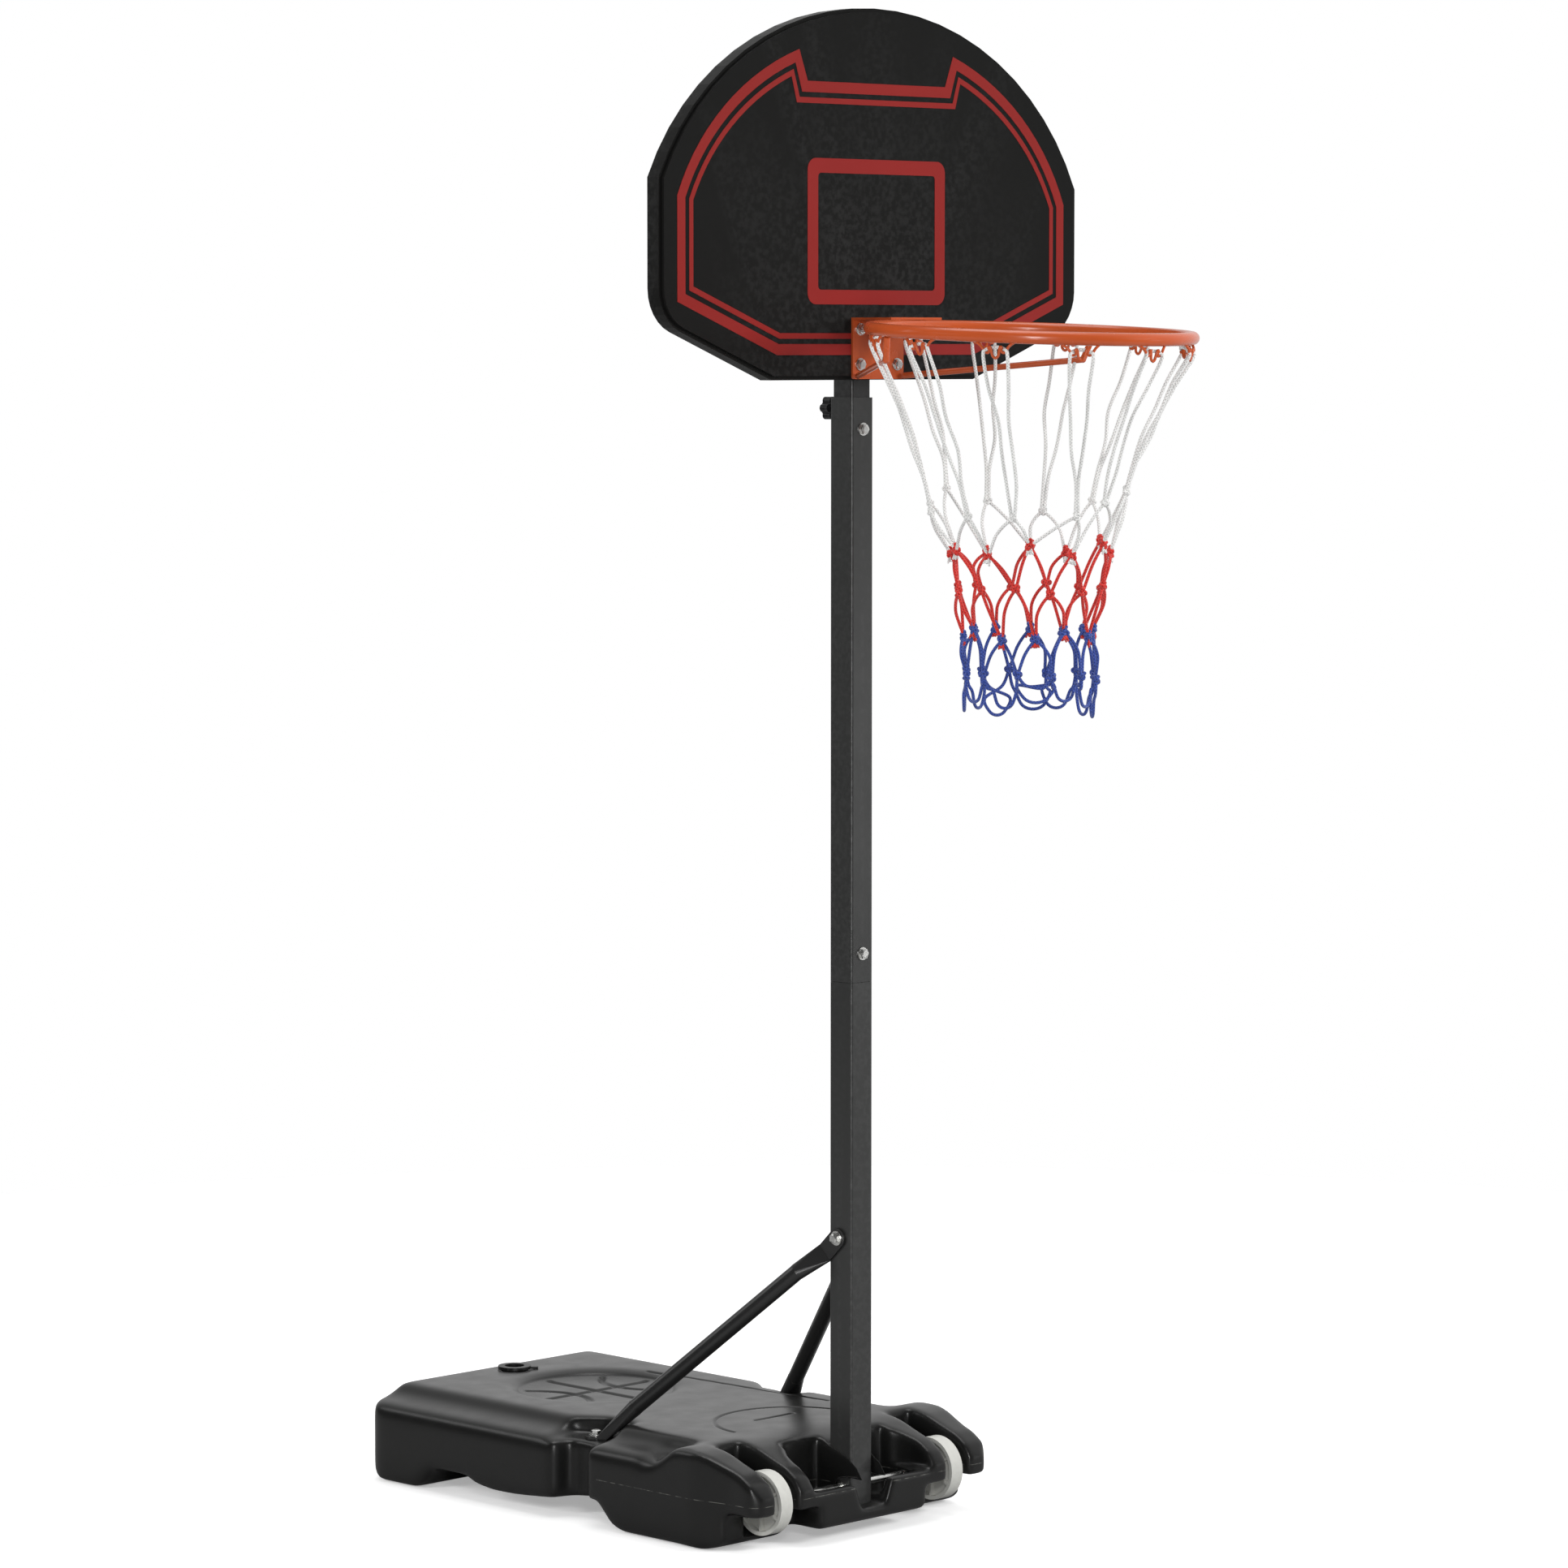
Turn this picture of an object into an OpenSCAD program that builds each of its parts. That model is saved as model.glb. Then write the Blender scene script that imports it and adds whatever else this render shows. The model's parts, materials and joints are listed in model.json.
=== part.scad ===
// Portable basketball hoop with a fillable wheeled base tank, a telescoping square
// pole, two rear braces, an arched backboard, a drooping rim and a three-colour net.
// The origin is on the floor, under the middle of the whole hoop. +X is the hoop's right
// as seen from the front, -Y is the front and +Z is up. Millimetres. The modules are
// drawn with the pole's axis at x = y = 0, and in_frame() moves them to the origin.

/* [Tank] */
// Width across the widest part of the tank
tank_w = 470; // [460:1:480]
// Distance from the pole's axis to the tank's back wall
tank_back = 705; // [700:1:710]
// Distance from the pole's axis to the tips of the front fingers
tank_front = 45; // [44:1:50]
// Height of the tank's deck above the floor
deck_h = 128; // [126:1:130]
// Width of the raised deck between the two shoulders
deck_w = 354; // [350:1:358]
// Thickness of the tank's moulded wall
tank_wall = 4; // [3:0.5:4]
// Radius of the round relief in the deck
relief_r = 118; // [110:1:120]
// Radius of the filler hole
filler_r = 16; // [14:1:17]

/* [Wheels] */
// Outer radius of a wheel
wheel_r = 42; // [38:1:42]
// Width of a wheel's tread
wheel_w = 21; // [18:1:24]
// Distance of each wheel's middle from the pole's axis
wheel_x = 160.5; // [160:0.5:161]
// Height of the axle above the floor
axle_z = 59; // [58:1:62]
// Radius of the axle rod
axle_r = 5; // [4:0.5:5]

/* [Pole] */
// Outside width of the lower and middle square tubes
tube_w = 40; // [40:1:40]
// Outside width of the sliding upper tube and of the joiner
slide_w = 35; // [35:1:35]
// Wall thickness of every square tube
tube_wall = 1.5; // [1.2:0.1:1.5]
// Height of the lower tube's bottom end
pole_z0 = 36; // [36:1:38]
// Height of the joint between the lower and the middle tube
joint_z = 726; // [700:1:750]
// Height of the middle tube's top end
middle_z1 = 1488; // [1480:1:1490]
// Height of the upper tube's top end
upper_z1 = 1606; // [1600:1:1640]
// Length of the height setting's travel
lift_travel = 550; // [500:10:550]

/* [Braces] */
// Outer radius of a brace tube
brace_r = 11; // [10:0.5:11]
// Height of the bolt that joins both braces to the pole
brace_top_z = 389; // [380:1:400]
// Distance of each brace's foot bolt from the middle
brace_foot_x = 178; // [176:1:182]
// Distance of each brace's foot bolt behind the pole's axis
brace_foot_y = 300; // [296:1:304]

/* [Backboard] */
// Half the width of the board
board_half_w = 385; // [385:1:385]
// Height of the board's straight bottom edge
board_z0 = 1511; // [1511:1:1511]
// Thickness of the board
board_t = 25; // [24:1:26]
// Radius of the rounded lower corners
board_corner_r = 58; // [50:1:60]

/* [Rim] */
// Radius of the ring's centre line
rim_r = 203; // [198:1:206]
// Radius of the ring's tube
rim_tube_r = 8.2; // [8:0.1:8.5]
// Distance of the ring's centre in front of the pole's axis
rim_y = 315; // [312:1:318]
// Height of the ring's centre
rim_z = 1571; // [1570:1:1572]
// Angle by which the ring droops at its front
rim_droop = 2.5; // [2:0.1:3]
// Number of net hooks round the ring
hook_count = 12; // [12:1:12]

/* [Net] */
// Radius of the net below the hooks
net_top_r = 196; // [190:1:198]
// Radius of the net where white cord meets red
net_red_r = 106; // [100:1:110]
// Radius of the net's lower half
net_low_r = 84; // [80:1:88]

/* [Hidden] */
$fn = 48;

tank_half = tank_w / 2;
deck_half = deck_w / 2;
finger_half = 222;
slot_x0 = 140;
slot_x1 = 181;
foot_x0 = 112;
underfinger_z = 50;
seat_z = 104;
seat_y0 = 256;
seat_y1 = 345;
filler_y = 657;
relief_y = 490;
relief_depth = 9;
big = 300;
gap = 0.3;

bolt_r = 4;
bolt_fit = 4.3;
joint_bolt_z = joint_z + 38;
height_bolt_z = middle_z1 - 41;
clamp_z = middle_z1 - 14;
joiner_half = 80;
upper_z0 = 840;
tube_half = tube_w / 2;
slide_half = slide_w / 2;
knob_y0 = tube_half + 8.6;

board_back_y = -tube_half;
board_front_y = board_back_y - board_t;
arch_z = 1640;
arch_a = 412;
arch_b = 347;
print_t = 0.4;
bolt_x = 34;
bolt_z_low = 1531;
bolt_z_high = 1576;
plate_t = 3;
plate_z0 = 1512;
plate_z1 = 1591;
bracket_t = 2.5;

// Middle of the hoop between the ring's front and the tank's back wall
ring_front = rim_y + rim_r * cos(rim_droop) + rim_tube_r;
middle_y = (tank_back - ring_front) / 2;

// ---------------------------------------------------------------- helpers

// Moves its children from the pole's axis to the origin
module in_frame() {
    translate([0, -middle_y, 0]) children();
}

// A rectangle from corner to corner with rounded corners, centred in x
module round_rect(w, y0, y1, r) {
    translate([-w / 2 + r, y0]) square([w - 2 * r, y1 - y0]);
    translate([-w / 2, y0 + r]) square([w, y1 - y0 - 2 * r]);
    for (x = [-w / 2 + r, w / 2 - r], y = [y0 + r, y1 - r])
        translate([x, y]) circle(r);
}

// A square tube standing on the height z0
module square_tube(w, wall, z0, z1, r = 3.5) {
    translate([0, 0, z0]) linear_extrude(z1 - z0) difference() {
        round_rect(w, -w / 2, w / 2, r);
        round_rect(w - 2 * wall, -w / 2 + wall, w / 2 - wall, r - wall);
    }
}

// A cylinder along the x axis from x0 to x1
module rod_x(r, x0, x1) {
    translate([x0, 0, 0]) rotate([0, 90, 0]) cylinder(r = r, h = x1 - x0);
}

// A cylinder along the y axis from y0 to y1
module rod_y(r, y0, y1) {
    translate([0, y1, 0]) rotate([90, 0, 0]) cylinder(r = r, h = y1 - y0);
}

// A profile drawn in y and z, extruded along x from x0 to x1
module along_x(x0, x1) {
    translate([x0, 0, 0]) rotate([90, 0, 90]) linear_extrude(x1 - x0) children();
}

// A profile drawn in x and z, extruded along y from y0 to y1
module along_y(y0, y1) {
    translate([0, y1, 0]) rotate([90, 0, 0]) linear_extrude(y1 - y0) children();
}

// The same child on the left and on the right
module both_sides() {
    children();
    mirror([1, 0, 0]) children();
}

// A hexagon flange bolt standing on z = 0 with its shank pointing down
module flange_bolt(shank, head_h = 5.5, flange_r = 8.5, flat_r = 7) {
    cylinder(r = flange_r, h = 1.5);
    cylinder(r = flat_r, h = head_h, $fn = 6);
    translate([0, 0, head_h]) cylinder(r1 = flat_r * 0.86, r2 = flat_r * 0.6, h = 0.8);
    translate([0, 0, -shank]) cylinder(r = bolt_r, h = shank);
}

// A hexagon nut on z = 0
module hex_nut(h = 6, r = 7.2) {
    difference() {
        cylinder(r = r, h = h, $fn = 6);
        translate([0, 0, -1]) cylinder(r = bolt_r + 0.05, h = h + 2);
    }
}

// ---------------------------------------------------------------- tank

// Side view of the tank: y, z and the direction in which an inset moves each point
tank_profile = [
    [705, 20, -1, 1], [705, 116, -1, -1], [695, 128, -1, -1],
    [75, 128, 0, -1], [57, 126.5, 0, -1], [38, 122.5, 0, -1], [14, 114, 0, -1],
    [-15, 104, 0, -1], [-34, 92, 0, -1], [-45, 76, 1, -1], [-45, 24, 1, 1],
    [-38, 18, 1, 1], [8, 16, 0, 1], [24, 5, 0, 1], [44, 0, 0, 1], [198, 0, 0, 1],
    [216, 6, 0, 1], [232, 21, 0, 1], [244, 35, 0, 1], [330, 25, 0, 1],
    [400, 19, 0, 1], [450, 18, 0, 1], [484, 22, 0, 1], [504, 31, 0, 1],
    [566, 31, 0, 1], [578, 24, 0, 1], [590, 8, 0, 1], [606, 0, 0, 1],
    [682, 0, 0, 1], [698, 7, -1, 1]
];

function move_y(y) = y > 600 ? y + tank_back - 705 : y < -40 ? y - tank_front + 45 : y;
function move_z(z) = z > 120 ? z + deck_h - 128 : z;

module tank_side(inset) {
    polygon([for (p = tank_profile)
        [move_y(p[0]) + inset * p[2], move_z(p[1]) + inset * p[3]]]);
}

// Plan of the tank, rounded at the back and narrowing to the fingers at the front
module tank_plan(inset) {
    w = tank_half - inset;
    f = finger_half - inset;
    r = 32 - inset;
    front = -tank_front + inset;
    back = tank_back - inset;
    translate([-w + r, 60]) square([2 * (w - r), back - 60]);
    translate([-w, 60]) square([2 * w, back - 60 - r]);
    for (x = [-w + r, w - r]) translate([x, back - r]) circle(r);
    polygon([[-w, 60.5], [-f, 0], [-f, front + 12], [-f + 12, front],
        [f - 12, front], [f, front + 12], [f, 0], [w, 60.5]]);
}

// Cross-section of the space over a shoulder, moved down by drop
module shoulder_space(grow, drop = 0) {
    g = grow + drop;
    polygon([
        [deck_half - grow, deck_h + 10], [deck_half - grow, deck_h],
        [deck_half + 8 - grow, 117 - g], [deck_half + 24 - grow, 111 - g],
        [tank_half - 12, 108 - g], [tank_half - 3 - grow, 103 - g],
        [tank_half - grow, 92 - drop], [big, 92 - drop], [big, deck_h + 10]]);
}

// The dropped shoulder beside the deck, with a dip where it rises to the crest by the wheel
module shoulder_cut(grow) {
    along_y(148 - grow, big * 3) shoulder_space(grow);
    intersection() {
        along_y(90 - grow, 160) shoulder_space(grow, 3.5);
        along_x(0, big) polygon([
            [93 - grow, deck_h + 1], [104 - grow, 122 - grow], [118 - grow, 112 - grow],
            [132 - grow, 103 - grow], [142 - grow, 96 - grow], [147 - grow, 80],
            [160, 80], [160, deck_h + 20], [93 - grow, deck_h + 20]]);
    }
}

// The recessed seat for a brace's foot, open to the side
module seat_cut(grow) {
    translate([0, 0, seat_z - grow]) linear_extrude(big) polygon([
        [147 - grow, seat_y0 - grow], [147 - grow, seat_y0 + 49], [178 - grow, seat_y1 + grow],
        [big, seat_y1 + grow], [big, seat_y0 + 1 - grow]]);
}

// The upright channel in the side wall below the seat
module channel_cut(grow) {
    translate([0, 0, -1]) linear_extrude(big) polygon([
        [204 - grow, 272 - grow], [204 - grow, 318 + grow], [big, 350 + grow],
        [big, 236 - grow]]);
}

// The slot in which a wheel turns, open at the top, the front and below
module wheel_slot(grow) {
    x0 = slot_x0 - grow;
    w = slot_x1 - slot_x0 + 2 * grow;
    translate([x0, -big, axle_z]) cube([w, big + 70 + grow, big]);
    translate([x0, -big, -1]) cube([w, big + 8 + grow, axle_z + 1]);
    translate([0, 0, axle_z]) rod_x(wheel_r + 7 + grow, x0, x0 + w);
}

// The space under the overhanging fingers
module underfinger_cut(grow) {
    translate([foot_x0 - 12 - grow, -big, -1])
        cube([big, big + 12 + grow, underfinger_z + 1]);
}

// The scooped pocket beside the pole
module scoop_cut(grow) {
    translate([0, 0, 70 - grow]) linear_extrude(big) polygon([
        [44 - grow, 40 + grow], [73, 38 + grow], [92 + grow, 28 + grow],
        [104 + grow, 12], [110 + grow, -7], [112 + grow, -big], [23.6, -big],
        [23.6, 22], [44 - grow, 28]]);
    translate([25.6, -28, 48 - grow]) cube([68.4 + grow, 66 + grow, big]);
}

// The slot and the V-shaped foot that hold the pole
module pole_slot(grow) {
    s = tube_half + 0.6 + grow;
    translate([-s, -s, pole_z0 - grow]) cube([2 * s, 2 * s, big]);
    translate([-s, -big, 70]) cube([2 * s, big, big]);
    along_y(-big, 0) polygon([[-s, pole_z0 - grow], [s, pole_z0 - grow],
        [34 + grow, 71], [-34 - grow, 71]]);
}

// The raised underside between the feet
module underside_cut(grow) {
    translate([-foot_x0 + 6 - grow, -big, -1])
        cube([2 * (foot_x0 - 6 + grow), 4 * big, 19 + grow]);
}

// The shallow round relief in the deck
module relief_cut(grow) {
    translate([0, relief_y, deck_h - relief_depth - grow])
        cylinder(r1 = relief_r - 14, r2 = relief_r + grow, h = relief_depth + grow + 0.01);
}

module tank_cuts(grow) {
    both_sides() {
        shoulder_cut(grow);
        seat_cut(grow);
        channel_cut(grow);
        wheel_slot(grow);
        underfinger_cut(grow);
        scoop_cut(grow);
    }
    pole_slot(grow);
    underside_cut(grow);
    relief_cut(grow);
}

module tank_block(inset) {
    intersection() {
        translate([0, 0, -10]) linear_extrude(deck_h + 20) tank_plan(inset);
        along_x(-big, big) tank_side(inset);
    }
}

// Panel seams of a plain ball, drawn as shallow grooves in the relief
module relief_seams() {
    seam = 3;
    floor_r = relief_r - 18;
    translate([0, relief_y, deck_h - relief_depth - 1.2]) linear_extrude(3)
        intersection() {
            circle(floor_r);
            union() {
                translate([-seam / 2, -floor_r]) square([seam, 2 * floor_r]);
                translate([-floor_r, -seam / 2]) square([2 * floor_r, seam]);
                for (s = [-1, 1]) translate([s * 118, 0]) difference() {
                    circle(80);
                    circle(80 - seam);
                }
            }
        }
}

// A half-round line and a short bar engraved in the deck behind the pole
module court_mark() {
    translate([0, 107, deck_h - 1.5]) linear_extrude(3) {
        intersection() {
            difference() {
                circle(106);
                circle(104);
            }
            translate([-110, 4]) square([220, 110]);
        }
        translate([-28, 42]) square([70, 2.2]);
    }
}

module base_tank() {
    color([0.10, 0.10, 0.10]) in_frame() difference() {
        tank_block(0);
        tank_cuts(0);
        // hollow for the water or sand
        intersection() {
            difference() {
                tank_block(tank_wall);
                tank_cuts(tank_wall);
            }
            translate([-big, 50, -10]) cube([2 * big, 3 * big, 2 * big]);
        }
        translate([0, filler_y, deck_h - 10]) cylinder(r = filler_r, h = 20);
        translate([0, 0, axle_z]) rod_x(axle_r + 0.1, -204, 204);
        translate([0, 0, axle_z]) rod_x(10, -tube_half - 2.4, tube_half + 2.4);
        both_sides() translate([brace_foot_x, brace_foot_y, seat_z - 10])
            cylinder(r = 6.1, h = 20);
        relief_seams();
        court_mark();
    }
}

// Push-in plug with a flange, a sunk middle and a pull tab
module filler_plug() {
    color([0.07, 0.07, 0.07]) in_frame() translate([0, filler_y, deck_h + gap]) {
        difference() {
            union() {
                cylinder(r = 23, h = 4);
                rotate([0, 0, -45]) translate([20, -4.5, 0]) cube([13, 9, 2.5]);
                translate([0, 0, -12]) cylinder(r = filler_r - 0.3, h = 12.5);
            }
            translate([0, 0, -9]) cylinder(r = filler_r - 2.3, h = 20);
        }
    }
}

// ---------------------------------------------------------------- wheels

module wheel() {
    rim_in = wheel_r - 5;
    web_r = 10;
    difference() {
        union() {
            rod_x(wheel_r, -wheel_w / 2, wheel_w / 2);
            rod_x(web_r, -19.5, 19.5);
        }
        for (s = [0, 1]) mirror([s, 0, 0]) difference() {
            rod_x(rim_in, 1.5, wheel_w);
            rod_x(web_r, 0, wheel_w + 1);
            for (a = [0:60:300]) rotate([a, 0, 0])
                translate([0, -1.5, 0]) cube([wheel_w / 2 - 2, 3, wheel_r]);
        }
        rod_x(axle_r + 0.06, -30, 30);
    }
}

module wheel_left() {
    color([0.80, 0.80, 0.77]) in_frame() translate([-wheel_x, 0, axle_z]) wheel();
}

module wheel_right() {
    color([0.80, 0.80, 0.77]) in_frame() translate([wheel_x, 0, axle_z]) wheel();
}

module axle_rod() {
    color([0.75, 0.75, 0.72]) in_frame() translate([0, 0, axle_z]) rod_x(axle_r, -202, 202);
}

// Spring push nuts that hold the axle against the pole's sides
module axle_push_nuts() {
    color([0.75, 0.75, 0.72]) in_frame() both_sides() translate([0, 0, axle_z]) difference() {
        rod_x(9, tube_half, tube_half + 1.6);
        rod_x(axle_r, 0, big);
    }
}

// ---------------------------------------------------------------- pole

module pole_lower() {
    color([0.17, 0.17, 0.165]) in_frame() difference() {
        square_tube(tube_w, tube_wall, pole_z0, joint_z);
        translate([0, 0, axle_z]) rod_x(axle_r + 0.1, -big, big);
        translate([0, 3, brace_top_z]) rod_x(bolt_fit, -big, big);
    }
}

module pole_joiner() {
    color([0.17, 0.17, 0.165]) in_frame() difference() {
        square_tube(slide_w + 1.9, tube_wall, joint_z - joiner_half, joint_z + joiner_half);
        translate([0, 0, joint_bolt_z]) rod_y(bolt_fit, -big, 0);
    }
}

module pole_middle() {
    color([0.17, 0.17, 0.165]) in_frame() difference() {
        square_tube(tube_w, tube_wall, joint_z + 0.4, middle_z1);
        translate([0, 0, joint_bolt_z]) rod_y(bolt_fit, -big, 0);
        translate([0, 0, height_bolt_z]) rod_y(bolt_fit, -big, 0);
        translate([0, 0, clamp_z]) rod_y(bolt_fit, 0, big);
    }
}

// Sliding tube, slotted at the front for the height bolt
module pole_upper() {
    slot_r = bolt_r + 0.8;
    color([0.15, 0.15, 0.145]) in_frame() difference() {
        square_tube(slide_w, tube_wall, upper_z0, upper_z1);
        translate([0, 0, height_bolt_z]) rod_y(slot_r, -slide_w, 0);
        translate([0, 0, height_bolt_z - lift_travel]) rod_y(slot_r, -slide_w, 0);
        translate([-slot_r, -slide_w, height_bolt_z - lift_travel])
            cube([2 * slot_r, slide_w, lift_travel]);
    }
}

module pole_top_cap() {
    color([0.07, 0.07, 0.07]) in_frame() translate([0, 0, upper_z1]) {
        linear_extrude(3) round_rect(slide_w, -slide_half, slide_half, 3.5);
        inner = slide_w - 2 * tube_wall - 0.6;
        translate([0, 0, -15]) linear_extrude(15) round_rect(inner, -inner / 2, inner / 2, 2);
    }
}

module joint_bolt() {
    color([0.78, 0.78, 0.76]) in_frame() translate([0, -tube_half, joint_bolt_z])
        rotate([90, 0, 0]) flange_bolt(12);
}

module joint_nut() {
    color([0.78, 0.78, 0.76]) in_frame() translate([0, -tube_half + 3.1, joint_bolt_z])
        rotate([-90, 0, 0]) hex_nut();
}

module height_bolt() {
    color([0.78, 0.78, 0.76]) in_frame() translate([0, -tube_half, height_bolt_z])
        rotate([90, 0, 0]) flange_bolt(12);
}

module height_nut() {
    color([0.78, 0.78, 0.76]) in_frame() translate([0, -slide_half + tube_wall + 0.4, height_bolt_z])
        rotate([-90, 0, 0]) hex_nut();
}

// ---------------------------------------------------------------- clamp

module clamp_weld_nut() {
    color([0.17, 0.17, 0.165]) in_frame() translate([0, tube_half, clamp_z]) difference() {
        rod_y(8, 0, 6);
        rod_y(bolt_r + 0.05, -1, 7);
    }
}

module clamp_screw() {
    color([0.78, 0.78, 0.76]) in_frame() translate([0, 0, clamp_z])
        rod_y(bolt_r, slide_half + gap, knob_y0 + 8);
}

module clamp_collar() {
    color([0.78, 0.78, 0.76]) in_frame() translate([0, 0, clamp_z]) difference() {
        rod_y(8, tube_half + 6 + gap, tube_half + 8 + gap);
        rod_y(bolt_r + 0.06, 0, big);
    }
}

// Six-lobed hand knob
module clamp_knob() {
    lobes = 6;
    color([0.06, 0.06, 0.06]) in_frame() translate([0, 0, clamp_z]) difference() {
        union() {
            rod_y(12, knob_y0, knob_y0 + 15);
            for (a = [0:lobes - 1]) rotate([0, a * 360 / lobes, 0]) translate([11, 0, 0])
                rod_y(5.2, knob_y0 + 1, knob_y0 + 14);
        }
        rod_y(bolt_r, 0, knob_y0 + 8);
    }
}

// ---------------------------------------------------------------- braces

brace_top = [tube_half + 2.1, 3, brace_top_z];
brace_foot = [brace_foot_x - 6, brace_foot_y - 8, seat_z + 6];
brace_run = brace_foot - brace_top;
brace_len = norm(brace_run);
brace_dir = brace_run / brace_len;
brace_tilt = acos(brace_dir[2]);
brace_turn = atan2(brace_dir[1], brace_dir[0]);
brace_slope = atan2(brace_run[1], -brace_run[2]);
tube_start = 72;
tube_end = brace_len - 58;

// Places its child on the brace's axis, the given distance from the top bolt
module on_brace(distance) {
    translate(brace_top + brace_dir * distance)
        rotate([0, brace_tilt, brace_turn]) children();
}

module brace() {
    flat_w = 26;
    flat_t = 3.2;
    difference() {
        union() {
            // flattened top end against the pole's side
            translate(brace_top) rotate([brace_slope, 0, 0]) {
                rod_x(flat_w / 2, -flat_t / 2, flat_t / 2);
                translate([-flat_t / 2, -flat_w / 2, -32]) cube([flat_t, flat_w, 32]);
            }
            hull() {
                translate(brace_top) rotate([brace_slope, 0, 0])
                    translate([-flat_t / 2 - 0.2, -flat_w / 2 - 0.2, -33])
                        cube([flat_t + 0.4, flat_w + 0.4, 2]);
                on_brace(tube_start) cylinder(r = brace_r + 0.3, h = 1, $fn = 32);
            }
            on_brace(tube_start + 0.5) difference() {
                cylinder(r = brace_r, h = tube_end - tube_start - 2);
                translate([0, 0, 1]) cylinder(r = brace_r - 1.5, h = tube_end - tube_start - 4);
            }
            // flattened foot on the tank's seat
            translate([brace_foot_x, brace_foot_y, seat_z + gap]) cylinder(r = 15, h = flat_t);
            hull() {
                translate([brace_foot_x - 9, brace_foot_y - 16, seat_z + gap])
                    rotate([0, 0, -28]) translate([-14, 0, 0]) cube([28, 14, flat_t]);
                on_brace(tube_end - 2) cylinder(r = brace_r + 0.3, h = 1, $fn = 32);
            }
        }
        translate(brace_top) rod_x(bolt_fit, -10, 10);
        translate([brace_foot_x, brace_foot_y, seat_z - 5]) cylinder(r = bolt_fit, h = 20);
        translate([brace_foot_x, brace_foot_y, foot_top]) cylinder(r = 10.6, h = 30);
    }
}

module brace_right() {
    color([0.12, 0.12, 0.118]) in_frame() brace();
}

module brace_left() {
    color([0.12, 0.12, 0.118]) in_frame() mirror([1, 0, 0]) brace();
}

brace_out = brace_top[0] + 1.6;

module brace_top_bolt() {
    color([0.78, 0.78, 0.76]) in_frame() translate([-brace_out - 1.6, 3, brace_top_z])
        rotate([0, -90, 0]) flange_bolt(2 * brace_out + 12);
}

module brace_top_washers() {
    color([0.78, 0.78, 0.76]) in_frame() both_sides() translate([0, 3, brace_top_z]) difference() {
        rod_x(9.5, brace_out, brace_out + 1.6);
        rod_x(bolt_r, 0, big);
    }
}

module brace_top_nut() {
    color([0.78, 0.78, 0.76]) in_frame() translate([brace_out + 1.6, 3, brace_top_z])
        rotate([0, 90, 0]) hex_nut();
}

foot_top = seat_z + gap + 3.2;

module brace_foot_bolts() {
    color([0.78, 0.78, 0.76]) in_frame() both_sides()
        translate([brace_foot_x, brace_foot_y, foot_top + 1.6]) flange_bolt(20);
}

module brace_foot_washers() {
    color([0.78, 0.78, 0.76]) in_frame() both_sides()
        translate([brace_foot_x, brace_foot_y, foot_top]) difference() {
            cylinder(r = 10, h = 1.6);
            translate([0, 0, -1]) cylinder(r = bolt_r, h = 4);
        }
}

// Threaded inserts moulded into the tank's seats
module brace_foot_inserts() {
    color([0.72, 0.60, 0.30]) in_frame() both_sides()
        translate([brace_foot_x, brace_foot_y, seat_z - 14]) difference() {
            cylinder(r = 6, h = 14);
            translate([0, 0, -1]) cylinder(r = bolt_r + 0.05, h = 20);
        }
}

// ---------------------------------------------------------------- board

// Right half of an outline made of the board's arch, side, slanted edge and bottom,
// all moved inwards by d. The slanted edge rises by 1 in 2.64.
slant = 1 / 2.64;
slant_n = sqrt(1 + slant * slant);

// Outline of the board with rounded lower corners, moved inwards by d
module board_outline(d) {
    a = arch_a - d;
    b = arch_b - d;
    w = board_half_w - d;
    z0 = board_z0 + d;
    r = board_corner_r - d;
    bottom_x = 187 - d * (slant_n - 1) / slant;
    corner_z = z0 + (w - bottom_x) * slant;
    t = r * tan((90 - atan(slant)) / 2);
    steps = 24;
    start = asin(w / a);
    arch = [for (i = [0:steps]) let (q = start - 2 * start * i / steps)
        [a * sin(q), arch_z + b * cos(q)]];
    right_low = [for (i = [0:6]) let (q = -(90 - atan(slant)) * (1 - i / 6))
        [w - r + r * cos(q), corner_z + t + r * sin(q)]];
    left_low = [for (i = [0:6]) [-right_low[6 - i][0], right_low[6 - i][1]]];
    polygon(concat([[bottom_x, z0]], right_low, arch, left_low, [[-bottom_x, z0]]));
}

module backboard() {
    wall = 3;
    color([0.15, 0.15, 0.148]) in_frame() difference() {
        union() {
            along_y(board_front_y + 5, board_back_y) board_outline(0);
            along_y(board_front_y, board_back_y - 2) board_outline(5);
        }
        // hollow between the two moulded skins, with solid bosses at the bolts
        along_y(board_front_y + wall, board_back_y - wall) difference() {
            board_outline(9);
            translate([-52, board_z0]) square([104, 90]);
        }
        bracket_holes();
    }
}

// Four bolt holes through the board, the rim plate and the bracket
module bracket_holes() {
    for (x = [-bolt_x, bolt_x], z = [bolt_z_low, bolt_z_high])
        translate([x, 0, z]) rod_y(bolt_fit, -100, 0);
}

// Outline of the printed border, moved inwards by d
module border_outline(d) {
    a = 378 - d;
    b = 313 - d;
    w = 357.5 - d;
    z0 = board_z0 + 32 + d;
    bottom_x = 182 - d * (slant_n - 1) / slant;
    tip_x = 142 + d * 0.5;
    notch_x = 127 + d * 0.7;
    notch_z = board_z0 + 379.4 - d;
    start = asin(w / a);
    tip = asin(tip_x / a);
    side = [for (i = [0:14]) let (q = start + (tip - start) * i / 14)
        [a * sin(q), arch_z + b * cos(q)]];
    right = concat([[bottom_x, z0], [w, z0 + (w - bottom_x) * slant]], side,
        [[notch_x, notch_z]]);
    n = len(right);
    polygon(concat(right, [for (i = [0:n - 1]) [-right[n - 1 - i][0], right[n - 1 - i][1]]]));
}

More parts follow.
